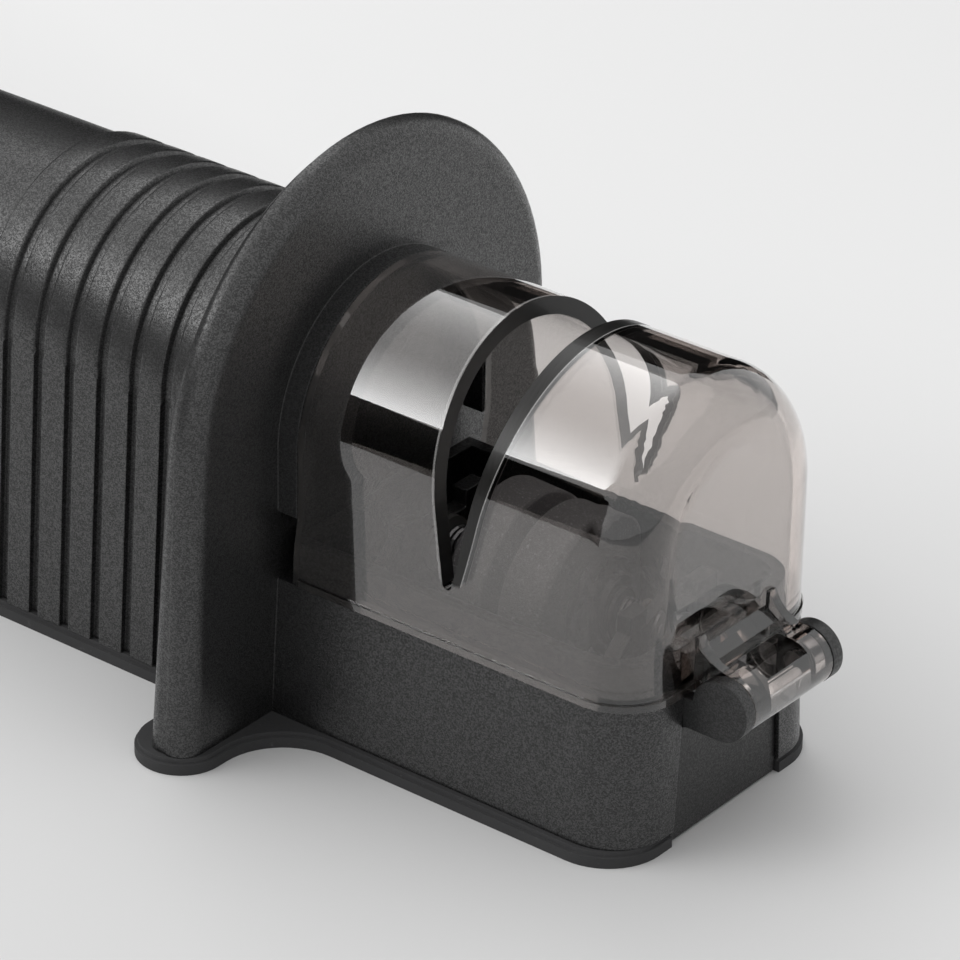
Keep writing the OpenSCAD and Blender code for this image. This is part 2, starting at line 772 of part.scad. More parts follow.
module coil_spring() {
    last = spring_turns * turn_steps;
    points = [for (i = [0 : last]) each wire_ring(i / last)];
    sides = [for (i = [0 : last - 1], k = [0 : wire_sides - 1])
        let (n = (k + 1) % wire_sides, a = i * wire_sides, b = a + wire_sides)
        [a + k, a + n, b + n, b + k]];
    start_cap = [[for (k = [wire_sides - 1 : -1 : 0]) k]];
    end_cap = [[for (k = [0 : wire_sides - 1]) last * wire_sides + k]];
    polyhedron(points, concat(sides, start_cap, end_cap));
}

module wheel_springs() {
    wall_in = cradle_half - cradle_wall;
    color("silver") from_guard() translate([blade_x, 0, axle_z])
        for (side = [0, 1]) mirror([side, 0, 0])
            translate([wall_in - washer_t - spring_l, 0, 0]) coil_spring();
}

// Hub between the groove and its washer, with a flange behind its wheel
module hub() {
    rotate([0, 90, 0]) difference() {
        union() {
            translate([0, 0, half_gap]) cylinder(r = hub_r, h = hub_end - half_gap);
            translate([0, 0, half_gap + wheel_w])
                cylinder(r = hub_flange_r, h = hub_flange_w);
        }
        cylinder(r = axle_r + fit_gap, h = 3 * cradle_half, center = true);
    }
}

// Half of the V groove: bevelled towards its partner, flat outside
module grinding_wheel() {
    vee_w = vee_depth * tan(vee_angle);
    rotate([0, 90, 0]) translate([0, 0, half_gap]) rotate_extrude()
        polygon([[hub_r + 0.02, 0], [wheel_r - vee_depth, 0], [wheel_r - 0.2, vee_w],
        [wheel_r, vee_w + 0.3], [wheel_r, wheel_w - 0.6], [wheel_r - 0.6, wheel_w],
        [hub_r + 0.02, wheel_w]]);
}

module at_front() {
    from_guard() translate([blade_x, 0, axle_z]) children();
}

module at_rear() {
    from_guard() translate([blade_x, 0, axle_z]) mirror([1, 0, 0]) children();
}

module rear_hub() {
    color([0.2, 0.2, 0.2]) at_rear() hub();
}

module rear_wheel() {
    color([0.3, 0.3, 0.31]) at_rear() grinding_wheel();
}

module front_hub() {
    color([0.2, 0.2, 0.2]) at_front() hub();
}

module front_wheel() {
    color([0.3, 0.3, 0.31]) at_front() grinding_wheel();
}

housing();
sole();
base_plate();
base_screws();
hinge_bracket();
hinge_pins();
bracket_screws();
water_tray();
cover();
wheel_cradle();
axle();
axle_keepers();
axle_clips();
thrust_washers();
wheel_springs();
rear_hub();
rear_wheel();
front_hub();
front_wheel();
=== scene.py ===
"""Knife sharpener: finishes, sloped grooves, the slot's true edges, floor and studio
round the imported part."""

import math

import bpy
from bpy.props import FloatProperty, FloatVectorProperty, PointerProperty
from mathutils import Matrix, Vector


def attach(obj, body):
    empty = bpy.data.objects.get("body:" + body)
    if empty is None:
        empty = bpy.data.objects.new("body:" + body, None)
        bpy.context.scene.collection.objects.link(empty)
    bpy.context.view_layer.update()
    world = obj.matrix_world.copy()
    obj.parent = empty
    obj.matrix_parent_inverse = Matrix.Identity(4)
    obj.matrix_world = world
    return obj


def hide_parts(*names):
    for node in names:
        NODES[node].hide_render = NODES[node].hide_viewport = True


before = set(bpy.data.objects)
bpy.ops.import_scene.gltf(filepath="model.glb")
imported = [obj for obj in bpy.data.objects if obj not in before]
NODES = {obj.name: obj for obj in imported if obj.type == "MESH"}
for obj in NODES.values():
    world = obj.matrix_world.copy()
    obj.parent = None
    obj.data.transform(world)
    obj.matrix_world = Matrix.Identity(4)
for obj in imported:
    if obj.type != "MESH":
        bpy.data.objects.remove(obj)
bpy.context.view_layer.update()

bl_info = {
    "name": "Knife sharpener looks",
    "version": (1, 0, 0),
    "blender": (4, 5, 0),
    "location": "3D View > Sidebar > Sharpener",
    "description": "Finishes and studio for a manual knife sharpener",
    "category": "Object",
}


# ---------------------------------------------------------------- settings


class SharpenerSizes(bpy.types.PropertyGroup):
    """Widths of the edges' roundings, and sizes of the surface grain. Except on the
    handle's bands, a rounding stops short of the next edge, so that close edges leave
    almost nothing of its width"""

    body_edge: FloatProperty(
        name="Body edge",
        description="Width on the handle's bands, and the most on the hinge and the tray",
        default=0.00045, min=0.0001, max=0.001, unit="LENGTH")
    groove_flare: FloatProperty(
        name="Groove flare", description="Slope of the walls of the handle's grooves",
        default=0.00024, min=0, max=0.0006, unit="LENGTH")
    cover_edge: FloatProperty(
        name="Cover edge", description="Most on the edges of the cover's slot and rim",
        default=0.00028, min=0.0001, max=0.0008, unit="LENGTH")
    sole_edge: FloatProperty(
        name="Sole edge", description="Most on the rim of the rubber sole",
        default=0.0007, min=0.0001, max=0.001, unit="LENGTH")
    small_edge: FloatProperty(
        name="Small edge", description="Most on the edges of small parts",
        default=0.00015, min=0.00005, max=0.0005, unit="LENGTH")
    spark_grain: FloatProperty(
        name="Spark grain", description="Size of the grain moulded into the body",
        default=0.00027, min=0.0001, max=0.001, unit="LENGTH")
    rubber_grain: FloatProperty(
        name="Rubber grain", description="Size of the grain of the rubber sole",
        default=0.0003, min=0.0001, max=0.001, unit="LENGTH")


class SlotSizes(bpy.types.PropertyGroup):
    """The blade slot's edges, as places along the object and in height"""

    foot_z: FloatProperty(
        name="Foot height", description="Height at which the slot's edges end in a round",
        default=0.0304, min=0.029, max=0.032, unit="LENGTH")
    crown_z: FloatProperty(
        name="Crown height", description="Height of the cover's crown",
        default=0.0597, min=0.057, max=0.062, unit="LENGTH")
    back_foot: FloatProperty(
        name="Back edge, foot", description="Slot's back edge at its foot",
        default=0.05545, min=0.053, max=0.057, unit="LENGTH")
    back_crown: FloatProperty(
        name="Back edge, crown", description="Slot's back edge at the crown",
        default=0.0516, min=0.049, max=0.054, unit="LENGTH")
    front_foot: FloatProperty(
        name="Front edge, foot", description="Slot's front edge at its foot",
        default=0.0569, min=0.056, max=0.060, unit="LENGTH")
    front_crown: FloatProperty(
        name="Front edge, crown", description="Slot's front edge at the crown",
        default=0.0619, min=0.058, max=0.066, unit="LENGTH")
    bulge: FloatProperty(
        name="Bulge", description="Bulge of the slot's curved front edge",
        default=0.0006, min=0.0001, max=0.002, unit="LENGTH")


class SharpenerColours(bpy.types.PropertyGroup):
    """Base colours of the main finishes"""

    body: FloatVectorProperty(
        name="Body", description="Colour of the moulded body",
        subtype="COLOR", default=(0.004, 0.004, 0.0042), min=0, max=1)
    rubber: FloatVectorProperty(
        name="Rubber", description="Colour of the sole",
        subtype="COLOR", default=(0.028, 0.028, 0.029), min=0, max=1)
    smoke: FloatVectorProperty(
        name="Smoke", description="Tint that light takes on inside the see-through cover",
        subtype="COLOR", default=(0.5, 0.39, 0.33), min=0, max=1)
    smoke_density: FloatProperty(
        name="Smoke density", description="How fast the cover's plastic darkens with depth",
        default=160.0, min=0, max=2000)
    ceramic: FloatVectorProperty(
        name="Ceramic", description="Colour of the grinding wheels",
        subtype="COLOR", default=(0.12, 0.12, 0.125), min=0, max=1)
    steel: FloatVectorProperty(
        name="Steel", description="Colour of pins, screws and springs",
        subtype="COLOR", default=(0.56, 0.56, 0.57), min=0, max=1)
    floor: FloatVectorProperty(
        name="Floor", description="Colour of the table",
        subtype="COLOR", default=(0.77, 0.77, 0.77), min=0, max=1)


class StudioLight(bpy.types.PropertyGroup):
    """Strength of the softbox and brightness of the room"""

    key_edge: FloatProperty(
        name="Key edge", description="Glow of the large softbox along its near edge",
        default=6.8, min=0, max=20)
    key_face: FloatProperty(
        name="Key", description="Glow of the large softbox in its middle",
        default=1.3, min=0, max=20)
    key_far: FloatProperty(
        name="Key far edge", description="Glow of the large softbox along its far edge",
        default=2.9, min=0, max=20)
    sky: FloatProperty(
        name="Ceiling", description="Brightness of the lit ceiling",
        default=1.0, min=0, max=4)
    walls: FloatProperty(
        name="Walls", description="Brightness of the room near the floor",
        default=0.03, min=0, max=1)
    backdrop: FloatProperty(
        name="Backdrop", description="Brightness of the pale backdrop",
        default=0.88, min=0, max=1)


# ---------------------------------------------------------------- shader maths


class Wire:
    """An output socket that takes part in sums, so 1 - mask adds its Math node"""

    def __init__(self, tree, out):
        self.tree = tree
        self.out = out

    def node(self, kind, settings=None, sockets=None, output=0):
        """Adds any node: its settings first, then the values or wires of its sockets"""
        node = self.tree.nodes.new(kind)
        for name, value in (settings or {}).items():
            setattr(node, name, value)
        for key, value in (sockets or {}).items():
            if isinstance(value, Wire):
                self.tree.links.new(value.out, node.inputs[key])
            else:
                node.inputs[key].default_value = value
        return Wire(self.tree, node.outputs[output])

    def _math(self, operation, *values):
        return self.node("ShaderNodeMath", {"operation": operation},
                         dict(enumerate(values)))

    def __abs__(self):
        return self._math("ABSOLUTE", self)

    def __add__(self, other):
        return self._math("ADD", self, other)

    def __radd__(self, other):
        return self._math("ADD", other, self)

    def __sub__(self, other):
        return self._math("SUBTRACT", self, other)

    def __rsub__(self, other):
        return self._math("SUBTRACT", other, self)

    def __mul__(self, other):
        return self._math("MULTIPLY", self, other)

    def __rmul__(self, other):
        return self._math("MULTIPLY", other, self)

    def __pow__(self, other):
        return self._math("POWER", self, other)

    def __rpow__(self, other):
        return self._math("POWER", other, self)


def object_place(tree):
    """The place on the object, in the object's own axes"""
    return Wire(tree, None).node("ShaderNodeTexCoord", output="Object")


def new_finish(name, **constants):
    """A material, its object coordinates as a wire, and its main shader"""
    material = bpy.data.materials.new(name)
    material.use_nodes = True
    tree = material.node_tree
    shader = next(n for n in tree.nodes if n.type == "BSDF_PRINCIPLED")
    for key, value in constants.items():
        shader.inputs[key.replace("_", " ")].default_value = value
    return material, object_place(tree), shader


def feed(shader, **wires):
    """Links wires to the shader's inputs, whose names have _ for a space"""
    for key, wire in wires.items():
        wire.tree.links.new(wire.out, shader.inputs[key.replace("_", " ")])


def noise(place, scale, detail=3.0, rough=0.55):
    """Cloudy noise, with about as many clouds in a metre as its scale"""
    return place.node("ShaderNodeTexNoise", sockets={
        "Vector": place, "Scale": scale, "Detail": detail, "Roughness": rough})


def drawn_noise(place, x, y, z, detail=3.0):
    """Cloudy noise with its own scale along each axis, so that it looks drawn out"""
    stretched = place.node("ShaderNodeMapping", sockets={
        "Vector": place, "Scale": (x, y, z)})
    return noise(stretched, 1.0, detail)


def axes(vector):
    """The three parts of a vector, each as a wire"""
    split = vector.node("ShaderNodeSeparateXYZ", sockets={"Vector": vector}).out.node
    return [Wire(vector.tree, out) for out in split.outputs]


def ramp(wire, low, high):
    """0 at low and 1 at high, with a straight slope between and level beyond"""
    return wire.node("ShaderNodeMapRange", sockets={
        "Value": wire, "From Min": low, "From Max": high, "To Min": 0.0, "To Max": 1.0})


# The Mix node's colour sockets, by number because its other sockets share their names
MIX_FIRST, MIX_SECOND, MIX_RESULT = 6, 7, 2


def tinted(mask, first, second):
    """First colour where the mask is 0 and second where it is 1; each may be a wire"""
    first, second = (colour if isinstance(colour, Wire) else (*colour, 1)
                     for colour in (first, second))
    return mask.node("ShaderNodeMix", {"data_type": "RGBA"}, {
        "Factor": mask, MIX_FIRST: first, MIX_SECOND: second}, output=MIX_RESULT)


def bump(height, strength, distance, over=None):
    """Normal with the height's relief, laid over another normal where one is given"""
    sockets = {"Strength": strength, "Distance": distance, "Height": height}
    if over:
        sockets["Normal"] = over
    return height.node("ShaderNodeBump", sockets=sockets)


def rounded_edges(place, radius, samples=6):
    """Normal that runs smoothly round the edges, so that they shade as if rounded"""
    return place.node("ShaderNodeBevel", {"samples": samples}, {"Radius": radius})


def shade(colour, factor):
    """The colour made darker or lighter"""
    return tuple(min(1.0, c * factor) for c in colour)


# ---------------------------------------------------------------- finishes

# Moulded plastic: radius that its edges shade with, and its cells and relief by its grain
SHADED_EDGE = 0.0003
CELLS_PER_GRAIN = 1.7
RELIEF_PER_GRAIN = 0.35
MOTTLE_SCALE = 55.0
# Pointiness at which an edge begins to look worn, and at which it is fully worn
WORN = (0.52, 0.60)


def moulded_plastic(name, colour, grain, rough, relief, sparkle=0.35, glint=0.5):
    """Black plastic from a spark-eroded mould: tiny pits, bright glints, a slight mottle"""
    material, place, shader = new_finish(
        name, IOR=1.56, Coat_Roughness=0.3, Coat_IOR=1.6)
    pits = noise(place, 1 / grain, detail=1.0)
    cells = axes(place.node("ShaderNodeTexVoronoi", {"voronoi_dimensions": "3D"}, {
        "Vector": place, "Scale": CELLS_PER_GRAIN / grain}, output="Color"))[0]
    mottle = ramp(noise(place, MOTTLE_SCALE), 0.3, 0.7)
    worn = ramp(place.node("ShaderNodeNewGeometry", output="Pointiness"), *WORN)
    grainy = pits * 0.6 + cells * 0.4
    feed(shader,
         Base_Color=tinted(grainy * 0.75 + mottle * 0.25, shade(colour, 1 - sparkle),
                           shade(colour, 1 + sparkle)),
         Roughness=rough + pits * 0.14 - worn * 0.08,
         Coat_Weight=ramp(cells, 0.25, 0.95) * glint,
         Normal=bump(grainy, relief, grain * RELIEF_PER_GRAIN,
                     over=rounded_edges(place, SHADED_EDGE)))
    return material


RUBBER_DUST = (0.16, 0.16, 0.16)


def soft_rubber(name, colour, grain):
    """Matt rubber with a dry bloom and fine crumbs"""
    material, place, shader = new_finish(name, IOR=1.5)
    crumbs = noise(place, 1 / grain, detail=4.0, rough=0.65)
    bloom = ramp(noise(place, 38.0, detail=4.0), 0.35, 0.75)
    dust = ramp(noise(place, 900.0, detail=2.0), 0.66, 0.78)
    base = tinted(bloom * 0.6 + crumbs * 0.4, shade(colour, 0.75), shade(colour, 1.5))
    feed(shader, Base_Color=tinted(dust * 0.25, base, RUBBER_DUST),
         Roughness=0.66 + crumbs * 0.18,
         Normal=bump(crumbs, strength=0.5, distance=0.00012))
    return material


# The cover's two tints of clear plastic, from its flow lines
FLOW_COLOURS = ((0.93, 0.92, 0.915), (0.985, 0.975, 0.97))
# Two tones of the shade painted on its cut edges and of its dark strip, and the tone of its
# painted highlight lines
CUT_SHADE_COLOURS = ((0.004, 0.004, 0.004), (0.020, 0.019, 0.018))
HIGHLIGHT_LINE_COLOUR = (0.75, 0.74, 0.73)
# How much of the clear plastic each of them hides
CUT_SHADE_COVER = 0.92
STRIP_COVER = 0.94
HIGHLIGHT_LINE_COVER = 0.22
# A face counts as cut the more it faces along the object, and not ahead of CUTS_END
CUT_FACING = (0.80, 0.93)
CUTS_END = (0.070, 0.072)
# The dark strip and the painted highlight lines beside the slot, by distance ahead of its
# edges. In each pair the mark is absent at the first place and full at the second
STRIP_BEGINS = (-0.0009, -0.0007)
STRIP_ENDS = (0.0013, 0.00115)
FRONT_HIGHLIGHT_BEGINS = (0.00115, 0.00125)
FRONT_HIGHLIGHT_ENDS = (0.00145, 0.00135)
BACK_HIGHLIGHT_BEGINS = (-0.0005, -0.0004)
BACK_HIGHLIGHT_ENDS = (-0.00008, -0.00016)
# How much wider the strip is at the crown, and the share of the height where marks start
STRIP_WIDENING = 0.0010
MARKS_START = (0.0, 0.02)


def cut_faces(place, x):
    """Mask of the cover's cut faces: the slot's walls and the edge beside the guard"""
    facing = place.node("ShaderNodeNewGeometry", output="True Normal")
    facing = facing.node(
        "ShaderNodeVectorTransform",
        {"vector_type": "NORMAL", "convert_from": "WORLD", "convert_to": "OBJECT"},
        {"Vector": facing})
    return ramp(abs(axes(facing)[0]), *CUT_FACING) * (1 - ramp(x, *CUTS_END))


def slot_marks(x, z, slot):
    """Masks of the dark strip along the slot's front edge and of the painted highlight
    lines
    """
    height = (z - slot.foot_z) * (1 / (slot.crown_z - slot.foot_z))
    # The last term is the bulge at mid height and nothing at both ends, close to the arc
    front = height * (slot.front_crown - slot.front_foot) + slot.front_foot + (
        height - height * height) * 4 * slot.bulge
    past_front = x - front
    past_back = x - height * (slot.back_crown - slot.back_foot) - slot.back_foot
    widened = past_front - height * STRIP_WIDENING
    shown = ramp(height, *MARKS_START)
    strip = ramp(past_front, *STRIP_BEGINS) * ramp(widened, *STRIP_ENDS) * shown
    # Painted highlights: pale lines just behind the back edge and just past the strip at
    # the front edge
    back_highlight = ramp(past_back, *BACK_HIGHLIGHT_BEGINS) * ramp(past_back, *BACK_HIGHLIGHT_ENDS)
    front_highlight = ramp(widened, *FRONT_HIGHLIGHT_BEGINS) * ramp(widened, *FRONT_HIGHLIGHT_ENDS)
    return strip, (back_highlight + front_highlight) * shown


def smoke_plastic(name, tint, density, slot):
    """Polished plastic that darkens with the way through it; its cut edges are rough and
    painted dark as shade, and painted highlight lines run beside the slot
    """
    material, place, shader = new_finish(
        name, Transmission_Weight=1.0, IOR=1.5, Coat_Roughness=0.015, Coat_IOR=1.62)
    tree = material.node_tree
    flow = drawn_noise(place, 25.0, 60.0, 60.0, detail=2.0)
    smudge = ramp(noise(place, 48.0, detail=4.0, rough=0.6), 0.52, 0.8)
    feed(shader, Base_Color=tinted(flow, *FLOW_COLOURS),
         Roughness=0.012 + smudge * 0.03, Coat_Weight=1.0 - smudge * 0.12)
    x, _, z = axes(place)
    cut = cut_faces(place, x)
    strip, lines = slot_marks(x, z, slot)
    strokes = drawn_noise(place, 3000.0, 200.0, 700.0)
    # Opaque rough shader: its dark base colour is painted shade on the cut faces and fills
    # the dark strip, and its pale base colour paints highlights beside the slot
    dull = place.node("ShaderNodeBsdfPrincipled", sockets={
        "IOR": 1.35,
        "Base Color": tinted(lines * (1 - strip), tinted(strokes, *CUT_SHADE_COLOURS),
                             HIGHLIGHT_LINE_COLOUR),
        "Roughness": 0.22 + strokes * 0.2,
        "Normal": bump(strokes, strength=0.3, distance=0.00003)})
    # Painted shade hides the clear plastic on the cut faces, as the dark strip and the
    # painted highlights do beside the slot
    cut_shade_strip_and_highlights = cut * CUT_SHADE_COVER + (strip * STRIP_COVER + lines * HIGHLIGHT_LINE_COVER) * (1 - cut)
    both = place.node("ShaderNodeMixShader", sockets={
        0: cut_shade_strip_and_highlights, 1: Wire(tree, shader.outputs[0]), 2: dull})
    inside = place.node("ShaderNodeVolumeAbsorption", sockets={
        "Color": (*tint, 1), "Density": density})
    end = next(n for n in tree.nodes if n.type == "OUTPUT_MATERIAL")
    tree.links.new(both.out, end.inputs["Surface"])
    tree.links.new(inside.out, end.inputs["Volume"])
    return material


def ground_steel(name, colour, marks_scale):
    """Steel with fine drawing marks and a few dull spots"""
    material, place, shader = new_finish(name, Metallic=1.0)
    marks = drawn_noise(place, *marks_scale)
    spots = ramp(noise(place, 700.0, detail=2.0), 0.6, 0.8)
    feed(shader,
         Base_Color=tinted(marks * 0.7 + spots * 0.3, shade(colour, 0.8),
                           shade(colour, 1.15)),
         Roughness=0.24 + marks * 0.16 + spots * 0.1,
         Normal=bump(marks, strength=0.25, distance=0.00002))
    return material


PALE_GRAIN = (0.42, 0.42, 0.43)


def grit_ceramic(name, colour):
    """Sintered ceramic: packed grit with pale and dark grains"""
    material, place, shader = new_finish(name, IOR=1.7)
    cells = place.node("ShaderNodeTexVoronoi", sockets={
        "Vector": place, "Scale": 5200.0})
    grit = noise(place, 6500.0, rough=0.7)
    pale = ramp(noise(place, 3800.0, detail=1.0), 0.62, 0.7)
    base = tinted(grit, shade(colour, 0.6), shade(colour, 1.5))
    feed(shader, Base_Color=tinted(pale * 0.5, base, PALE_GRAIN),
         Roughness=0.55 + grit * 0.25,
         Normal=bump(cells * 0.5 + grit * 0.5, strength=0.6, distance=0.00008))
    return material


def bearing_plastic(name, colour):
    """Unfilled bearing plastic, slightly waxy, with turning marks"""
    material, place, shader = new_finish(name, IOR=1.5, Subsurface_Weight=0.05)
    marks = drawn_noise(place, 4000.0, 500.0, 500.0, detail=2.0)
    cloud = noise(place, 160.0)
    feed(shader, Base_Color=tinted(cloud, shade(colour, 0.85), shade(colour, 1.1)),
         Roughness=0.42 + marks * 0.15,
         Normal=bump(marks, strength=0.3, distance=0.00003))
    return material


# ---------------------------------------------------------------- modelling helpers

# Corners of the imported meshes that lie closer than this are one
MERGE_WITHIN = 1e-6
# Edges sharper than this are rounded, with other limits for the cover and the screws
SHARP_ANGLE = math.radians(34)
COVER_SHARP_ANGLE = math.radians(38)
SCREW_SHARP_ANGLE = math.radians(40)
ROUNDING_SEGMENTS = 2
# Edges duller than this are shaded smooth
SMOOTH_ANGLE = math.radians(28)
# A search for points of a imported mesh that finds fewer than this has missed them
LEAST_POINTS = 60


def only(obj):
    """Makes obj the one selected and active object"""
    bpy.ops.object.select_all(action="DESELECT")
    obj.select_set(True)
    bpy.context.view_layer.objects.active = obj


def copy_of(node, name):
    """A merged copy of a CAD node's mesh, ready for modelling"""
    only(NODES[node])
    bpy.ops.object.duplicate()
    piece = bpy.context.view_layer.objects.active
    piece.name = name
    piece.data = piece.data.copy()
    piece.data.name = name
    piece.data.materials.clear()
    bpy.ops.object.mode_set(mode="EDIT")
    bpy.ops.mesh.select_all(action="SELECT")
    bpy.ops.mesh.customdata_custom_splitnormals_clear()
    bpy.ops.mesh.remove_doubles(threshold=MERGE_WITHIN)
    bpy.ops.object.mode_set(mode="OBJECT")
    return piece


def soften(piece, width, angle=SHARP_ANGLE, chosen=None):
    """Rounds the chosen edges fully, or all edges sharper than angle as far as close
    edges leave room, and shades the rest smooth"""
    only(piece)
    bevel = piece.modifiers.new("soft edges", "BEVEL")
    bevel.width = width
    bevel.segments = ROUNDING_SEGMENTS
    bevel.limit_method = "ANGLE"
    bevel.angle_limit = angle
    if chosen:
        weights = piece.data.attributes.new("bevel_weight_edge", "FLOAT", "EDGE")
        places = [point.co.copy() for point in piece.data.vertices]
        for edge in piece.data.edges:
            first, second = (places[index] for index in edge.vertices)
            weights.data[edge.index].value = float(chosen(first, second))
        bevel.limit_method = "WEIGHT"
    bevel.use_clamp_overlap = not chosen
    bevel.miter_outer = "MITER_ARC"
    bpy.ops.object.modifier_apply(modifier=bevel.name)
    bpy.ops.object.shade_smooth_by_angle(angle=SMOOTH_ANGLE)
    even = piece.modifiers.new("even shading", "WEIGHTED_NORMAL")
    even.keep_sharp = True
    bpy.ops.object.modifier_apply(modifier=even.name)


def dress(piece, node, body, finish):
    """Gives the piece its finish and lets it stand for the CAD node on its body"""
    piece.data.materials.clear()
    piece.data.materials.append(finish)
    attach(piece, body)
    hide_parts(node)


def finished_copy(node, body, finish, width, angle=SHARP_ANGLE):
    """Puts a softened copy with its finish in the CAD node's place"""
    piece = copy_of(node, node + "_piece")
    soften(piece, width, angle)
    dress(piece, node, body, finish)


def recolour(node, finish):
    """Gives a carried CAD node its finish"""
    materials = NODES[node].data.materials
    materials.clear()
    materials.append(finish)


# ---------------------------------------------------------------- pieces


class SharpenerPart(bpy.types.Operator):
    """Common ground of the operators"""

    bl_options = {"REGISTER", "UNDO"}

    @property
    def sizes(self):
        return bpy.context.scene.sharpener_sizes

    @property
    def colours(self):
        return bpy.context.scene.sharpener_colours


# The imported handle's grooves and the bands between them, as places along the object
FIRST_GROOVE = -0.0173
GROOVE_PITCH = 0.00545
GROOVE_WIDTH = 0.0011
GROOVE_COUNT = 6
GROOVE_STARTS = [FIRST_GROOVE + index * GROOVE_PITCH for index in range(GROOVE_COUNT)]
BANDS_START = FIRST_GROOVE - GROOVE_PITCH + GROOVE_WIDTH
BANDS_END = 0.0116
# Height of the arch's centre, how far out from it the bands begin, and their foot's height
ARCH_CENTRE = 0.0398
BANDS_BEYOND = 0.0201
BANDS_FOOT = 0.004
# How far a point may lie from a groove's edge, and an edge from the bands' start
ON_GROOVE = 2e-5
ON_BANDS_START = 1e-4
# Ends of an edge round the handle lie no farther apart than this along the object
ROUND_THE_HANDLE = 1e-6


def on_band(point):
    """True for a point as far out as the tops of the handle's bands"""
    return math.hypot(point.y, max(point.z - ARCH_CENTRE, 0.0)) > BANDS_BEYOND


def flare_grooves(piece, flare):
    """Moves the outer edges of the handle's grooves apart, so that their walls slope"""
    moved = 0
    for point in piece.data.vertices:
        x = point.co.x
        if not on_band(point.co):
            continue
        for start in GROOVE_STARTS:
            for edge, way in ((start, -1), (start + GROOVE_WIDTH, 1)):
                if abs(x - edge) < ON_GROOVE:
                    point.co.x = x + way * flare
                    moved += 1
    if moved < LEAST_POINTS:
        raise RuntimeError("the handle's grooves were not found")


def on_band_edges(first, second):
    """True for an edge round the top of a band on the handle"""
    if abs(first.x - second.x) > ROUND_THE_HANDLE:
        return False
    if not BANDS_START - ON_BANDS_START < first.x < BANDS_END:
        return False
    return all(on_band(end) and end.z > BANDS_FOOT for end in (first, second))


class SHARPENER_OT_body(SharpenerPart):
    """Handle, hand guard, collar and tub in grained black plastic"""

    bl_idname = "sharpener.body"
    bl_label = "Body"

    def execute(self, context):
        finish = moulded_plastic(
            "body_spark_black", self.colours.body, self.sizes.spark_grain,
            rough=0.37, relief=0.8, sparkle=0.45, glint=1.0)
        piece = copy_of("housing", "housing_piece")
        flare_grooves(piece, self.sizes.groove_flare)
        soften(piece, self.sizes.body_edge, chosen=on_band_edges)
        dress(piece, "housing", "base", finish)
        return {"FINISHED"}


class SHARPENER_OT_underside(SharpenerPart):
    """Rubber sole and the plate that closes the handle from below"""

    bl_idname = "sharpener.underside"
    bl_label = "Sole and base plate"

    def execute(self, context):
        rubber = soft_rubber("sole_rubber_black", self.colours.rubber,
                             self.sizes.rubber_grain)
        plate = moulded_plastic("plate_black", self.colours.body,
                                grain=0.0006, rough=0.5, relief=0.4)
        finished_copy("sole", "base", rubber, self.sizes.sole_edge)
        finished_copy("base_plate", "base", plate, self.sizes.small_edge)
        return {"FINISHED"}


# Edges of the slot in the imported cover: foot, crown and bulge
PACKED_BACK = (0.05595, 0.05145, 0.0)
PACKED_FRONT = (0.05825, 0.06485, 0.001)
# How far a point may lie from an edge of the slot, and below its foot
ON_SLOT = 4e-5
BELOW_FOOT = 1e-5


def slot_edge(foot, crown, bulge, low, high):
    """Place along the object of a slot edge at a height: a straight line, or an arc"""
    def line(z):
        return foot + (crown - foot) * (z - low) / (high - low)

    if not bulge:
        return line
    chord = math.hypot(crown - foot, high - low)
    radius = chord * chord / (8 * bulge) + bulge / 2
    tilt = math.atan2(crown - foot, high - low)
    centre_x = (foot + crown) / 2 - (radius - bulge) * math.cos(tilt)
    centre_z = (low + high) / 2 + (radius - bulge) * math.sin(tilt)

    def arc(z):
        return centre_x + math.sqrt(radius * radius - (z - centre_z) ** 2)

    return arc


def trim_slot(piece, slot):
    """Slides the slot's cut edges along the cover to the slot's true edges"""
    low, high = slot.foot_z, slot.crown_z
    old_back = slot_edge(*PACKED_BACK, low, high)
    old_front = slot_edge(*PACKED_FRONT, low, high)
    new_back = slot_edge(slot.back_foot, slot.back_crown, 0.0, low, high)
    new_front = slot_edge(slot.front_foot, slot.front_crown, slot.bulge, low, high)
    old_foot = PACKED_BACK[0]
    old_width = PACKED_FRONT[0] - old_foot
    new_width = slot.front_foot - slot.back_foot
    moved = 0
    for point in piece.data.vertices:
        x, z = point.co.x, point.co.z
        if z >= low - BELOW_FOOT:
            if abs(x - old_back(z)) < ON_SLOT:
                point.co.x = new_back(z)
                moved += 1
            elif abs(x - old_front(z)) < ON_SLOT:
                point.co.x = new_front(z)
                moved += 1
        elif abs(math.hypot(x - old_foot - old_width / 2, z - low)
                 - old_width / 2) < ON_SLOT:
            point.co.x = slot.back_foot + (x - old_foot) * new_width / old_width
            point.co.z = low + (z - low) * new_width / old_width
            moved += 1
    if moved < LEAST_POINTS:
        raise RuntimeError("the slot's edges were not found")


class SHARPENER_OT_cover(SharpenerPart):
    """See-through slotted cover with its hinge barrel"""

    bl_idname = "sharpener.cover"
    bl_label = "Cover"

    def execute(self, context):
        slot = context.scene.sharpener_slot
        smoke = smoke_plastic("cover_smoke", self.colours.smoke,
                              self.colours.smoke_density, slot)
        piece = copy_of("cover", "cover_piece")
        trim_slot(piece, slot)
        soften(piece, self.sizes.cover_edge, COVER_SHARP_ANGLE)
        dress(piece, "cover", "lid", smoke)
        return {"FINISHED"}


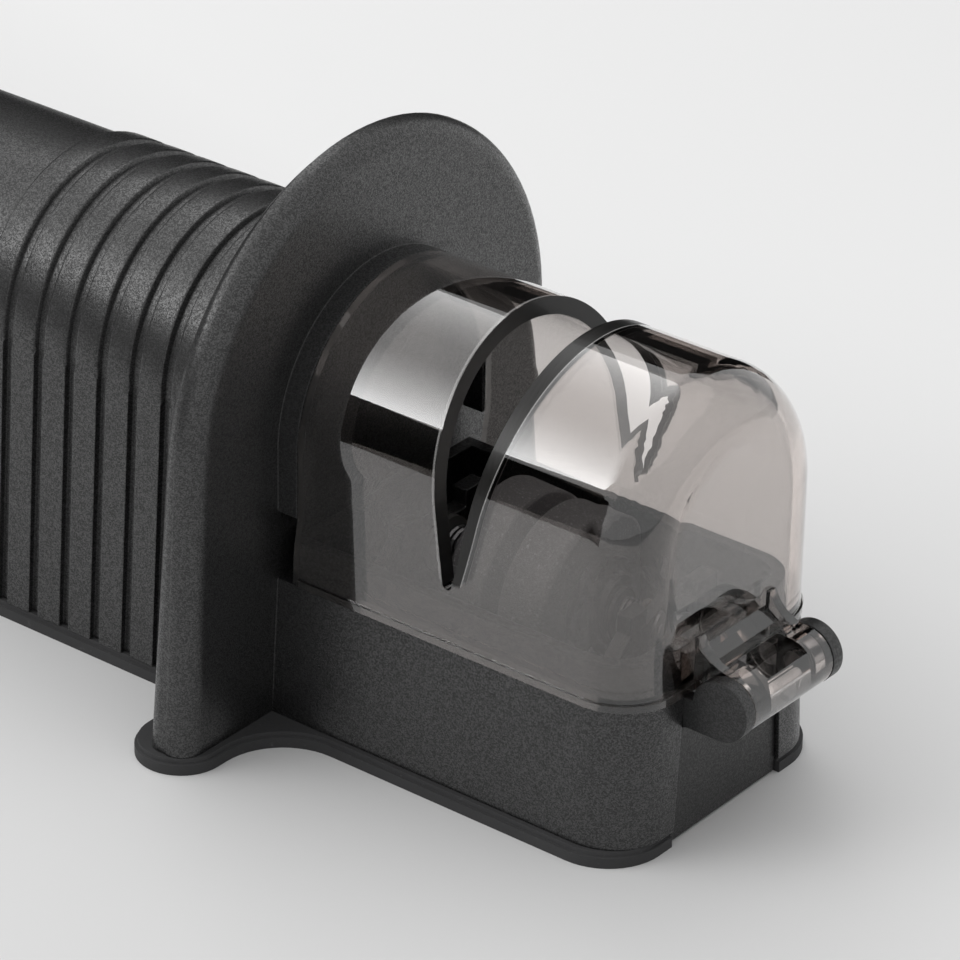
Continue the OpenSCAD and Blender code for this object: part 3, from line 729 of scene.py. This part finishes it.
class SHARPENER_OT_hinge(SharpenerPart):
    """Hinge bracket with its round knuckles, and the pins"""

    bl_idname = "sharpener.hinge"
    bl_label = "Hinge"

    def execute(self, context):
        arms = moulded_plastic("bracket_black", self.colours.body,
                               grain=0.0003, rough=0.4, relief=0.35)
        pins = ground_steel("pin_steel_ground", self.colours.steel, (400, 3000, 3000))
        finished_copy("hinge_bracket", "base", arms, self.sizes.body_edge)
        recolour("hinge_pins", pins)
        return {"FINISHED"}


# Painted shade on the pieces inside the tub, as shares of the body's and the steel's
# colours, and the colours of the washers and hubs
INSIDE_PAINTED_SHADE = 0.8
AXLE_PAINTED_SHADE = 0.45
SPRING_PAINTED_SHADE = 0.3
WASHER_COLOUR = (0.07, 0.068, 0.065)
HUB_COLOUR = (0.06, 0.06, 0.06)


class SHARPENER_OT_tray(SharpenerPart):
    """Water tray inside the tub"""

    bl_idname = "sharpener.tray"
    bl_label = "Water tray"

    def execute(self, context):
        # The tray is the body's colour darkened: painted shade inside the tub
        finish = moulded_plastic("tray_black", shade(self.colours.body, INSIDE_PAINTED_SHADE),
                                 grain=0.0005, rough=0.38, relief=0.25)
        finished_copy("water_tray", "base", finish, self.sizes.body_edge)
        return {"FINISHED"}


class SHARPENER_OT_cartridge(SharpenerPart):
    """Cradle, axle, keepers, clips, washers and springs"""

    bl_idname = "sharpener.cartridge"
    bl_label = "Wheel cartridge"

    def execute(self, context):
        # Cradle, axle and springs take darkened body and steel colours: painted shade
        # inside the tub
        cradle = moulded_plastic("cradle_black", shade(self.colours.body, INSIDE_PAINTED_SHADE),
                                 grain=0.0004, rough=0.42, relief=0.3)
        shaft = ground_steel("axle_steel_ground", shade(self.colours.steel, AXLE_PAINTED_SHADE),
                             (3000, 300, 300))
        wire = ground_steel("spring_steel_drawn",
                            shade(self.colours.steel, SPRING_PAINTED_SHADE), (900, 900, 900))
        waxy = bearing_plastic("washer_grey", WASHER_COLOUR)
        finished_copy("wheel_cradle", "cartridge", cradle, self.sizes.small_edge)
        for node, finish in (("axle_keepers", cradle), ("axle", shaft),
                             ("axle_clips", wire), ("wheel_springs", wire),
                             ("thrust_washers", waxy)):
            recolour(node, finish)
        return {"FINISHED"}


class SHARPENER_OT_wheels(SharpenerPart):
    """Two grinding wheels on their hubs"""

    bl_idname = "sharpener.wheels"
    bl_label = "Grinding wheels"

    def execute(self, context):
        grit = grit_ceramic("wheel_grit_ceramic", self.colours.ceramic)
        dark = moulded_plastic("hub_dark", HUB_COLOUR,
                               grain=0.0004, rough=0.45, relief=0.3)
        edge = self.sizes.small_edge
        for side in ("rear", "front"):
            finished_copy(side + "_wheel", side + "_roller", grit, edge)
            finished_copy(side + "_hub", side + "_roller", dark, edge)
        return {"FINISHED"}


class SHARPENER_OT_screws(SharpenerPart):
    """Zinc plated screws in the base and the bracket"""

    bl_idname = "sharpener.screws"
    bl_label = "Screws"

    def execute(self, context):
        zinc = ground_steel("screw_zinc", self.colours.steel, (1200, 1200, 1200))
        for node in ("base_screws", "bracket_screws"):
            finished_copy(node, "base", zinc, self.sizes.small_edge / 2,
                          SCREW_SHARP_ANGLE)
        return {"FINISHED"}


# ---------------------------------------------------------------- stage

CAMERA_AZIMUTH = math.radians(37.907)
CAMERA_ELEVATION = math.radians(28.6595)
CAMERA_ROLL = math.radians(1.115)
CAMERA_PLACE = Vector((0.395853, -0.450042, 0.344713))
CAMERA_LENS = 192.494
SENSOR_WIDTH = 36
CAMERA_CLIP = (0.01, 50)

TABLE_SIZE = 6
# Level ways, along and across the object, in which light is painted on the table so that
# it gets paler, and the places that far out between which it does
FAR_WAY = (-0.61, 0.79)
FAR_PAINTED_PALER = (-0.16, 0.30)
FAR_RIGHT_WAY = (0.5, 0.9)
FAR_RIGHT_PAINTED_PALER = (0.02, 0.12)
# Shades of the table's colour near the camera and far from it: painted shade and painted
# light
TABLE_PAINTED_SHADES = (0.83, 1.02)

# The softbox, seen from the point that it lights: the ways to its middle and near edge
LIT_POINT = Vector((0.05, 0, 0.04))
SOFTBOX_WAY = (-0.60, -0.19, 0.78)
SOFTBOX_EDGE_WAY = (-0.533, -0.754, 0.384)
SOFTBOX_DISTANCE = 1.0
SOFTBOX_SIZE = (1.1, 1.7)
# Where its glow begins and ends to change, in shares of its size from its middle
NEAR_GLOW = (-0.05, -0.5)
NEAR_GLOW_POWER = 1.5
FAR_GLOW = (0.1, 0.5)
SIDE_FADE = (0.1, 0.5)

# The dark boards, cut from a ring: its corners, how far they reach past its middle, the
# height of their far half, and their two tones
WALL_CORNERS = 96
WALL_OVERLAP = 0.02
WALL_FAR_HEIGHT = 0.36
WALL_COLOURS = ((0.008, 0.008, 0.008), (0.014, 0.014, 0.014))

WHITE = (1, 1, 1, 1)
# Upward part of the ways in which the lit ceiling begins and is fully bright
CEILING = (0.15, 0.75)


def camera_matrix():
    """The photo camera's place and turn"""
    az, el = CAMERA_AZIMUTH, CAMERA_ELEVATION
    back = Vector((math.sin(az) * math.cos(el), -math.cos(az) * math.cos(el),
                   math.sin(el)))
    right = Vector((math.cos(az), math.sin(az), 0))
    up = back.cross(right)
    turned_right = right * math.cos(CAMERA_ROLL) + up * math.sin(CAMERA_ROLL)
    turned_up = up * math.cos(CAMERA_ROLL) - right * math.sin(CAMERA_ROLL)
    turn = Matrix((turned_right, turned_up, back)).transposed().to_4x4()
    return Matrix.Translation(CAMERA_PLACE) @ turn


def flat_sheet(name, size, cuts):
    """A square sheet at the origin, divided by cuts both ways"""
    bpy.ops.object.select_all(action="DESELECT")
    bpy.ops.mesh.primitive_plane_add(size=size, location=(0, 0, 0))
    sheet = bpy.context.view_layer.objects.active
    sheet.name = name
    bpy.ops.object.mode_set(mode="EDIT")
    bpy.ops.mesh.select_all(action="SELECT")
    bpy.ops.mesh.subdivide(number_cuts=cuts)
    bpy.ops.object.mode_set(mode="OBJECT")
    return sheet


def panel_glow(name, light):
    """Glow that is strongest along the near edge and fades to the backdrop at one side"""
    material = bpy.data.materials.new(name)
    material.use_nodes = True
    tree = material.node_tree
    tree.nodes.clear()
    place = object_place(tree)
    across, height, _ = axes(place)
    near = ramp(height, *NEAR_GLOW) ** NEAR_GLOW_POWER
    far = ramp(height, *FAR_GLOW)
    side = ramp(across, *SIDE_FADE)
    strength = light.key_face + near * (light.key_edge - light.key_face) + far * (
        light.key_far - light.key_face)
    strength = strength * (1 - side) + side * light.backdrop
    lamp = place.node("ShaderNodeEmission", sockets={"Strength": strength})
    end = tree.nodes.new("ShaderNodeOutputMaterial")
    tree.links.new(lamp.out, end.inputs["Surface"])
    return material


def glowing_panel(name, light):
    """Softbox front that only diffuse light and gloss see, and that casts no shadow"""
    panel = flat_sheet(name, size=1, cuts=4)
    away = Vector(SOFTBOX_WAY).normalized()
    edge_way = Vector(SOFTBOX_EDGE_WAY)
    up = -(edge_way - away * away.dot(edge_way)).normalized()
    turn = Matrix((up.cross(away), up, away)).transposed().to_4x4()
    place = Matrix.Translation(LIT_POINT + away * SOFTBOX_DISTANCE)
    panel.matrix_world = place @ turn @ Matrix.Diagonal((*SOFTBOX_SIZE, 1, 1))
    panel.data.materials.append(panel_glow(name, light))
    panel.visible_camera = False
    panel.visible_transmission = False
    panel.visible_shadow = False


def dark_walls(name, way, radius, height):
    """Dark boards round one half of the part, higher on the far side. Gloss sees those
    at the rear only, and the see-through cover shows both"""
    bpy.ops.object.select_all(action="DESELECT")
    bpy.ops.mesh.primitive_cylinder_add(
        vertices=WALL_CORNERS, radius=radius, depth=height, end_fill_type="NOTHING",
        location=(0, 0, height / 2))
    walls = bpy.context.view_layer.objects.active
    bpy.ops.object.mode_set(mode="EDIT")
    bpy.ops.mesh.select_all(action="DESELECT")
    bpy.ops.object.mode_set(mode="OBJECT")
    for point in walls.data.vertices:
        point.select = point.co.x * way < -WALL_OVERLAP
    bpy.ops.object.mode_set(mode="EDIT")
    bpy.ops.mesh.delete(type="VERT")
    bpy.ops.object.mode_set(mode="OBJECT")
    for point in walls.data.vertices:
        if point.co.z > 0 and point.co.y > 0:
            point.co.z += WALL_FAR_HEIGHT - height
    walls.name = name
    material, place, shader = new_finish(
        "wall_dark", Roughness=1.0, Specular_IOR_Level=0.0)
    feed(shader, Base_Color=tinted(noise(place, 3.0), *WALL_COLOURS))
    walls.data.materials.append(material)
    walls.visible_camera = False
    walls.visible_glossy = way < 0
    walls.visible_diffuse = False
    walls.visible_shadow = False


def studio_world(light):
    """Pale backdrop for the eye, gloss and glass; a lit ceiling lights the rest"""
    world = bpy.data.worlds.new("studio")
    world.use_nodes = True
    tree = world.node_tree
    tree.nodes.clear()
    towards = Wire(tree, None).node("ShaderNodeTexCoord", output="Generated")
    ceiling = ramp(axes(towards)[2], *CEILING)
    path = towards.node("ShaderNodeLightPath").out.node
    camera, gloss, glass = (Wire(tree, path.outputs["Is " + kind + " Ray"])
                            for kind in ("Camera", "Glossy", "Transmission"))
    room = towards.node("ShaderNodeBackground", sockets={
        "Color": WHITE, "Strength": light.walls + ceiling * (light.sky - light.walls)})
    pale = towards.node("ShaderNodeBackground", sockets={
        "Color": WHITE, "Strength": light.backdrop})
    both = towards.node("ShaderNodeMixShader", sockets={
        0: camera + gloss + glass, 1: room, 2: pale})
    end = tree.nodes.new("ShaderNodeOutputWorld")
    tree.links.new(both.out, end.inputs["Surface"])
    return world


def table_finish(colour):
    """Matt table top with painted light and shade, a little darker towards the front and
    paler far off and to the right, with a very fine tooth
    """
    material, place, shader = new_finish(
        "table_matt", Roughness=0.6, Specular_IOR_Level=0.25)
    along, across, _ = axes(place)
    far, far_right_painted_light = (
        ramp(across * way[1] + along * way[0], *paler)
        for way, paler in ((FAR_WAY, FAR_PAINTED_PALER), (FAR_RIGHT_WAY, FAR_RIGHT_PAINTED_PALER)))
    cloud = noise(place, 9.0, detail=2.0)
    # Painted light and shade: the table grows paler far off and to the right
    painted_light_tone = tinted((far + far_right_painted_light * 0.9) * 0.96 + cloud * 0.04,
                  *(shade(colour, factor) for factor in TABLE_PAINTED_SHADES))
    tooth = noise(place, 3000.0, detail=2.0)
    feed(shader, Base_Color=painted_light_tone, Normal=bump(tooth, strength=0.05, distance=0.0001))
    return material


def photo_camera():
    """The camera that took the photo"""
    lens = bpy.data.cameras.new("photo_camera")
    lens.lens = CAMERA_LENS
    lens.sensor_width = SENSOR_WIDTH
    lens.clip_start, lens.clip_end = CAMERA_CLIP
    camera = bpy.data.objects.new("photo_camera", lens)
    bpy.context.collection.objects.link(camera)
    camera.matrix_world = camera_matrix()
    return camera


class SHARPENER_OT_stage(SharpenerPart):
    """Table, studio light and camera"""

    bl_idname = "sharpener.stage"
    bl_label = "Stage"

    def execute(self, context):
        scene = context.scene
        table = flat_sheet("table", TABLE_SIZE, cuts=3)
        table.data.materials.append(table_finish(self.colours.floor))
        glowing_panel("key_softbox", scene.sharpener_light)
        dark_walls("dark_walls_rear", way=-1, radius=0.35, height=0.19)
        dark_walls("dark_walls_front", way=1, radius=0.36, height=0.30)
        scene.world = studio_world(scene.sharpener_light)
        scene.camera = photo_camera()
        scene.view_settings.view_transform = "Standard"
        return {"FINISHED"}


class SHARPENER_PT_panel(bpy.types.Panel):
    """Lists the sharpener's settings and pieces"""

    bl_label = "Knife sharpener"
    bl_idname = "SHARPENER_PT_panel"
    bl_space_type = "VIEW_3D"
    bl_region_type = "UI"
    bl_category = "Sharpener"

    def draw(self, context):
        for group in (context.scene.sharpener_sizes, context.scene.sharpener_slot,
                      context.scene.sharpener_colours, context.scene.sharpener_light):
            box = self.layout.box()
            for name in group.__annotations__:
                box.prop(group, name)
        for operator in OPERATORS:
            self.layout.operator(operator.bl_idname)


OPERATORS = (
    SHARPENER_OT_body, SHARPENER_OT_underside, SHARPENER_OT_cover, SHARPENER_OT_hinge,
    SHARPENER_OT_tray, SHARPENER_OT_cartridge, SHARPENER_OT_wheels, SHARPENER_OT_screws,
    SHARPENER_OT_stage,
)
GROUPS = (SharpenerSizes, SlotSizes, SharpenerColours, StudioLight)


def register():
    for kind in (*GROUPS, *OPERATORS, SHARPENER_PT_panel):
        bpy.utils.register_class(kind)
    bpy.types.Scene.sharpener_sizes = PointerProperty(type=SharpenerSizes)
    bpy.types.Scene.sharpener_slot = PointerProperty(type=SlotSizes)
    bpy.types.Scene.sharpener_colours = PointerProperty(type=SharpenerColours)
    bpy.types.Scene.sharpener_light = PointerProperty(type=StudioLight)


def unregister():
    del bpy.types.Scene.sharpener_light
    del bpy.types.Scene.sharpener_colours
    del bpy.types.Scene.sharpener_slot
    del bpy.types.Scene.sharpener_sizes
    for kind in reversed((*GROUPS, *OPERATORS, SHARPENER_PT_panel)):
        bpy.utils.unregister_class(kind)


def main():
    register()
    for operator in OPERATORS:
        group, name = operator.bl_idname.split(".")
        getattr(getattr(bpy.ops, group), name)()


if __name__ == "__main__":
    main()
